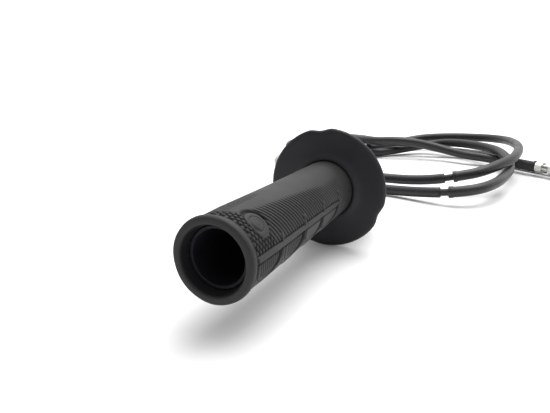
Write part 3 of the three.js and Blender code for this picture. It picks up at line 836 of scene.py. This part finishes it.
def make_grip():
    """The rubber grip: a rounded end ring, then the patterned body down to the flange."""
    mouth = (GRIP_BORE, 4.4)
    ring = [
        (13.6, 2.2), (13.9, 0.8), (14.5, 0.05), (15.4, 0), (16.6, 0.1), (17.3, 0.6), (17.6, 1.4),
        (17.6, 2.5), (17.35, 3.2), (16.6, 3.9), (16.45, 4.2), (16.8, BODY_START),
    ]
    body_y = np.arange(BODY_START, GRIP_LENGTH, 0.28)
    body_radius = np.interp(body_y, [5, 20, 36, 56, 84, 104, 118.6], [16.9, 16.9, 16.5, 16, 15.5, 15.3, 15.2])
    bore_y = np.arange(GRIP_LENGTH, 6, -8)
    ends = rounded([mouth, *ring], 0.5)[5:]
    body = np.stack([body_radius, body_y], axis=1)
    bore = np.stack([np.full(len(bore_y), GRIP_BORE), bore_y], axis=1)
    profile = np.vstack([ends, body[2:], bore, [mouth]])
    grip = turned("ribbed_grip", BAR_LINE, profile, 400, grip_relief)
    store_relief_and_bore_shade(grip, profile, 400)
    return belongs(grip, MATERIALS["grip_rubber"], "throttle", "grip_rubber", "grip_sleeve")


def store_relief_and_bore_shade(grip, profile, sides):
    """Keeps the pattern's height on the mesh, for the material's painted shade in the grooves; points inside
    the bore get a set low value, which paints shade there.
    """
    degrees = np.arange(sides)[None, :] * 360 / sides
    # -0.24 inside the bore is not a height: it paints shade in the bore
    height = np.where(profile[:, :1] > 14.2, grip_pattern(degrees, profile[:, 1:]), -0.24)
    attribute = grip.data.attributes.new("relief", "FLOAT", "POINT")
    attribute.data.foreach_set("value", height.astype(np.float32).ravel())


def notch_relief(degrees, distance, radius):
    """Shallow notches in the flange's rim."""
    spacing = 360 / NOTCH["count"]
    turns = (degrees - NOTCH["first"]) / spacing
    offset = np.abs(turns - np.round(turns)) * spacing
    cut = np.where(offset < NOTCH["half_angle"], (1 + np.cos(np.pi * offset / NOTCH["half_angle"])) / 2, 0)
    return -NOTCH["depth"] * cut * smooth_step(NOTCH["root_radius"], FLANGE_RADIUS, radius)


def make_flange():
    """The rubber flange that keeps the hand off the housing."""
    corners = [
        (GRIP_BORE, 119.2), (15.3, 119.2), (15.3, 116.3), (15.7, 115.7), (16.6, 115.6), (17.9, 116.1),
        (19.4, 116.9), (21.5, 117.3), (24.5, 117.6), (29.8, 117.9), (31.4, 118.15), (32.2, 118.8),
        (FLANGE_RADIUS, 119.7), (32.1, 120.7), (31.2, 121.2), (20, 121.4), (17.6, 122.2), (17, 124.2),
        (GRIP_BORE, 124.2),
    ]
    flange = turned("hand_flange", BAR_LINE, rounded(corners, 0.8), 288, notch_relief)
    return belongs(flange, MATERIALS["flange_rubber"], "throttle", "flange_rubber", "grip_flange")


def make_tube():
    """The throttle tube, with the pulley that the wires wrap round."""
    near, far = PULLEY_PLANE - PULLEY_HALF, PULLEY_PLANE + PULLEY_HALF
    root = WIRE_WRAP_RADIUS - 1.1
    corners = [
        (BAR_BORE, TUBE_START), (TUBE_RADIUS, TUBE_START), (TUBE_RADIUS, near), (PULLEY_RIM, near),
        (PULLEY_RIM, PULLEY_PLANE - 1.6), (root, PULLEY_PLANE - 1.1), (root, PULLEY_PLANE + 1.1),
        (PULLEY_RIM, PULLEY_PLANE + 1.6), (PULLEY_RIM, far), (TUBE_RADIUS, far), (TUBE_RADIUS, TUBE_END),
        (BAR_BORE, TUBE_END),
    ]
    tube = turned("tube_and_pulley", BAR_LINE, rounded(corners, 0.35), 128)
    for name, angle in BARREL_ANGLES.items():
        pocket = barrel_solid(f"{name}_pocket", angle, 2.5, 8)
        combined(tube, pocket, "DIFFERENCE")
    shade(tube.data)
    return belongs(tube, MATERIALS["tube_plastic"], "throttle", "tube_plastic", "throttle_tube")


def barrel_solid(name, angle, radius, length):
    """A short cylinder beside the bar's axis, where a wire's end sits in the pulley."""
    x = WIRE_WRAP_RADIUS * math.cos(math.radians(angle))
    z = WIRE_WRAP_RADIUS * math.sin(math.radians(angle))
    line = straight(on_bar(x, PULLEY_PLANE - length / 2, z), on_bar(x, PULLEY_PLANE + length / 2, z))
    return turned(name, line, rounded([(0, 0), (radius, 0), (radius, length), (0, length)], 0.3), 32)


def make_barrels():
    for name, angle in BARREL_ANGLES.items():
        barrel = barrel_solid(f"{name}_wire_barrel", angle, 2.2, 7.4)
        belongs(barrel, MATERIALS["brass"], "throttle", "brass", f"{name}_barrel")


def make_washer():
    corners = [(13.1, 124.6), (18, 124.6), (18, 125.8), (13.1, 125.8)]
    washer = turned("nylon_washer", BAR_LINE, rounded(corners, 0.25), 96)
    return belongs(washer, MATERIALS["washer_plastic"], "housing", "washer_plastic", "bearing_washer")


make_grip()
make_flange()
make_tube()
make_barrels()
make_washer()

# ---- Housing -----------------------------------------------------------------------------------


def across_bar(y, z, start, end):
    """A line along the X axis, from one x to another."""
    return straight(on_bar(start, y, z), on_bar(end, y, z), (0, 1, 0))


def rod(name, line, radius, sides):
    """A plain cylinder along a line."""
    return turned(name, line, [(0, 0), (radius, 0), (radius, line.length), (0, line.length)], sides)


def in_clamp(across, y, along):
    """A point across and along the clamp's ears, which lean over about the bar."""
    x = across * math.cos(CLAMP_TILT) - along * math.sin(CLAMP_TILT)
    z = across * math.sin(CLAMP_TILT) + along * math.cos(CLAMP_TILT)
    return on_bar(x, y, z)


def across_clamp(y, height, start, end):
    """A line square to the plane in which the housing splits."""
    return straight(in_clamp(start, y, height), in_clamp(end, y, height), (0, 1, 0))


def clamp_ears():
    """The two ears of the bar clamp behind the drum: one block with rounded corners."""
    w, h, c = CLAMP["half_width"], CLAMP["half_height"], CLAMP["corner"]
    corners = [(-w, -h), (w, -h), (w, h), (-w, h)]
    outline = []
    for x, z in corners:
        centre_x, centre_z = x - math.copysign(c, x), z - math.copysign(c, z)
        first = math.degrees(math.atan2(z, x)) // 90 * 90
        for step in range(9):
            angle = math.radians(first + step * 90 / 8)
            outline.append((centre_x + c * math.cos(angle), centre_z + c * math.sin(angle)))
    work = bmesh.new()
    rows = [[work.verts.new(in_clamp(x, y, z)) for x, z in outline] for y in (DRUM["end"] - 2, CLAMP["end"])]
    work.faces.new(rows[0])
    work.faces.new(reversed(rows[1]))
    for i in range(len(outline)):
        j = (i + 1) % len(outline)
        work.faces.new([rows[0][j], rows[0][i], rows[1][i], rows[1][j]])
    bmesh.ops.recalc_face_normals(work, faces=work.faces)
    mesh = bpy.data.meshes.new("clamp_ears")
    work.to_mesh(mesh)
    work.free()
    return add_object("clamp_ears", mesh)


def housing_solid(name):
    """The whole housing before it is split: drum, clamp and cable ports, less its bores."""
    start, end, radius = DRUM["start"], DRUM["end"], DRUM["radius"]
    drum_corners = [(0, start), (radius, start), (radius, end), (0, end)]
    body = turned(name, BAR_LINE, rounded(drum_corners, 1), 96)
    band = straight(on_bar(0, end - 2, 0), on_bar(0, CLAMP["end"], 0))
    combined(body, rod("band", band, CLAMP["band"], 96), "UNION")
    combined(body, clamp_ears(), "UNION")
    for height in (PORT["height"], -PORT["height"]):
        boss = rod("boss", across_bar(PULLEY_PLANE, height, PORT["face"], -15), PORT["radius"], 48)
        combined(body, boss, "UNION")
    cavity_start, cavity_end, cavity_radius = DRUM["cavity"]
    cavity_corners = [
        (0, start - 1), (DRUM["door"], start - 1), (DRUM["door"], cavity_start),
        (cavity_radius, cavity_start), (cavity_radius, cavity_end), (CLAMP["bore"], cavity_end),
        (CLAMP["bore"], CLAMP["end"] + 1), (0, CLAMP["end"] + 1),
    ]
    combined(body, turned("cavity", BAR_LINE, cavity_corners, 96), "DIFFERENCE")
    for height in (PORT["height"], -PORT["height"]):
        hole = rod("hole", across_bar(PULLEY_PLANE, height, PORT["face"] - 1, -14), PORT["hole"], 32)
        combined(body, hole, "DIFFERENCE")
    for height in (SCREW["height"], -SCREW["height"]):
        line = across_clamp(SCREW["plane"], height, -CLAMP["half_width"] - 1, SCREW["tip"] + 0.6)
        combined(body, rod("screw_hole", line, SCREW["hole"], 32), "DIFFERENCE")
    return body


def make_housing():
    """Splits the housing along the bar into the rear half with the ports and the front half."""
    for side, node in ((-1, "housing_rear"), (1, "housing_front")):
        body = housing_solid(f"{node}_casting")
        work = bmesh.new()
        bmesh.ops.create_cube(work, size=1)
        for vertex in work.verts:
            across, y, along = vertex.co * 100
            across += side * (50 + SPLIT_GAP / 2)
            vertex.co = in_clamp(across, PULLEY_PLANE + y, along)
        mesh = bpy.data.meshes.new("half")
        work.to_mesh(mesh)
        work.free()
        combined(body, add_object("half", mesh), "INTERSECT")
        softened(body, 0.45)
        belongs(body, MATERIALS["housing_metal"], "housing", "housing_metal", node)


def make_screws():
    """Socket-head screws through the clamp, threaded at the tip and knurled round the head."""
    shank, radius, socket = (SCREW[key] for key in ("shank", "head", "socket"))
    seat = CLAMP["half_width"] + 0.3
    head = seat + SCREW["tip"]
    top = head + SCREW["head_length"]

    def relief(degrees, distance, rim):
        turn = (distance / 0.8 + degrees / 360) % 1
        threads = np.where(distance < head - 6, -0.3 * np.abs(turn - 0.5) * 2, 0)
        beside = (distance < top - 1) * (distance > head + 0.6)
        knurl = -0.12 * (np.cos(np.radians(36 * degrees)) > 0) * beside
        recess = np.where((rim > 2) & (rim < 2.4), hexagon(socket, degrees) - rim, 0)
        outer = np.where(rim > radius - 0.1, knurl, 0)
        return np.where(distance < head, threads, outer + recess)

    corners = [
        (0, 0), (shank - 0.7, 0), (shank, 0.8), (shank, head), (radius, head), (radius, top - 0.6),
        (radius - 0.6, top), (socket + 0.2, top), (socket, top - 0.2), (socket, top - 2.6),
        (0, top - 3.2),
    ]
    profile = spaced(rounded(corners, 0.12, 2), 0.2)
    for height, node in ((SCREW["height"], "clamp_screw_upper"), (-SCREW["height"], "clamp_screw_lower")):
        line = across_clamp(SCREW["plane"], height, SCREW["tip"], -40)
        screw = turned(f"{node}_bolt", line, profile, 216, relief)
        belongs(screw, MATERIALS["screw_steel"], "housing", "screw_steel", node)


def elbow_line(height):
    """Out of the port, round a quarter bend and along the bar to the mouth."""
    bend, shoulder = ELBOW["bend"], ELBOW["shoulder"]
    points = [on_bar(ELBOW["stub_end"], PULLEY_PLANE, height)]
    for angle in np.radians(np.linspace(0, 90, 33)):
        x = shoulder - bend * math.sin(angle)
        y = PULLEY_PLANE + bend * (1 - math.cos(angle))
        points.append(on_bar(x, y, height))
    points.append(on_bar(shoulder - bend, ELBOW["end"], height))
    return Line(points, (0, 0, 1))


def make_elbows():
    """Plated elbows with a shoulder at the nut and a rolled bead at the mouth."""
    for name, cable in CABLES.items():
        line = elbow_line(cable["port_height"])
        shoulder = ELBOW["stub_end"] - ELBOW["shoulder"]
        stub, pipe, bore, end = ELBOW["stub"], ELBOW["pipe"], ELBOW["bore"], line.length
        corners = [
            (bore, 0), (stub, 0), (stub, shoulder), (pipe, shoulder), (pipe, end - 3.6),
            (pipe - 0.35, end - 3.1), (pipe - 0.35, end - 2.3), (pipe, end - 1.8), (pipe, end), (bore, end),
        ]
        elbow = turned(f"{name}_bent_elbow", line, spaced(rounded(corners, 0.35), 0.8), 48)
        belongs(elbow, MATERIALS["zinc_plate"], "housing", "zinc_plate", f"{name}_elbow")
        nut_line = across_bar(PULLEY_PLANE, cable["port_height"], ELBOW_NUT["start"], -60)
        size = {"start": 0, "length": ELBOW_NUT["length"], "corner": ELBOW_NUT["corner"]}
        make_nut(f"{name}_lock_nut", nut_line, size, ELBOW["stub"] + 0.05, "housing", "zinc_plate",
                 f"{name}_elbow_nut")


def finish_cad_nodes():
    """The wires inside the housing stay as the CAD model has them."""
    for name in CABLES:
        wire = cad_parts[f"{name}_wire_inner"]
        wire.data.materials.clear()
        wire.data.materials.append(MATERIALS["wire_steel"])


make_housing()
make_screws()
make_elbows()
finish_cad_nodes()

# ---- Floor and light ---------------------------------------------------------------------------

FLOOR = {"half": 0.9, "middle": (0, 0.25, -0.0002)}
OVERHEAD = {"place": (0.14, 0.55, 1.5), "target": (0, 0.1, 0), "size": (1.5, 1.3), "power": 30}
BACKDROP_STRENGTH = 1.06
BRIGHT_SIDE = (-0.1, 0.75, 0.65)
SURROUND_RANGE = (-0.3, 0.85, 0.26, 1.3)    # the cosines to the bright side, then the strengths there


def make_floor():
    mesh = bpy.data.meshes.new("floor")
    half = FLOOR["half"]
    corners = [(-half, -half, 0), (half, -half, 0), (half, half, 0), (-half, half, 0)]
    mesh.from_pydata(corners, [], [(0, 1, 2, 3)])
    floor = add_object("floor", mesh)
    floor.location = FLOOR["middle"]
    surface = Surface("floor_paper", Roughness=0.9, Specular_IOR_Level=0.1)
    paper = surface.noise(40, detail=2)
    surface.colour(surface.mix(surface.between(paper, 0, 1), (0.86, 0.86, 0.86), (0.88, 0.88, 0.88)))
    mesh.materials.append(surface.material)


def make_area_light(name, place, target, size, power):
    data = bpy.data.lights.new(name, "AREA")
    data.shape = "RECTANGLE"
    data.size, data.size_y = size
    data.energy = power
    light = add_object(name, data)
    light.location = place
    light.rotation_euler = (Vector(target) - Vector(place)).to_track_quat("-Z", "Y").to_euler()


def make_lights():
    """A white surround, dimmer towards the camera's side, with a broad soft light overhead."""
    world = bpy.data.worlds.new("studio")
    world.use_nodes = True
    nodes, links = world.node_tree.nodes, world.node_tree.links
    seen = nodes["Background"]
    seen.inputs["Strength"].default_value = BACKDROP_STRENGTH
    surround = nodes.new("ShaderNodeBackground")
    towards = nodes.new("ShaderNodeVectorMath")
    towards.operation = "DOT_PRODUCT"
    towards.inputs[1].default_value = BRIGHT_SIDE
    links.new(nodes.new("ShaderNodeTexCoord").outputs["Generated"], towards.inputs[0])
    strength = nodes.new("ShaderNodeMapRange")
    for socket, value in zip(("From Min", "From Max", "To Min", "To Max"), SURROUND_RANGE):
        strength.inputs[socket].default_value = value
    links.new(towards.outputs["Value"], strength.inputs["Value"])
    links.new(strength.outputs["Result"], surround.inputs["Strength"])
    for background in (seen, surround):
        background.inputs["Color"].default_value = (1, 1, 1, 1)
    chosen = nodes.new("ShaderNodeMixShader")
    links.new(nodes.new("ShaderNodeLightPath").outputs["Is Camera Ray"], chosen.inputs["Fac"])
    links.new(surround.outputs["Background"], chosen.inputs[1])
    links.new(seen.outputs["Background"], chosen.inputs[2])
    links.new(chosen.outputs["Shader"], nodes["World Output"].inputs["Surface"])
    bpy.context.scene.world = world
    make_area_light("overhead", **OVERHEAD)
    bpy.context.scene.view_settings.view_transform = "Standard"


make_floor()
make_lights()
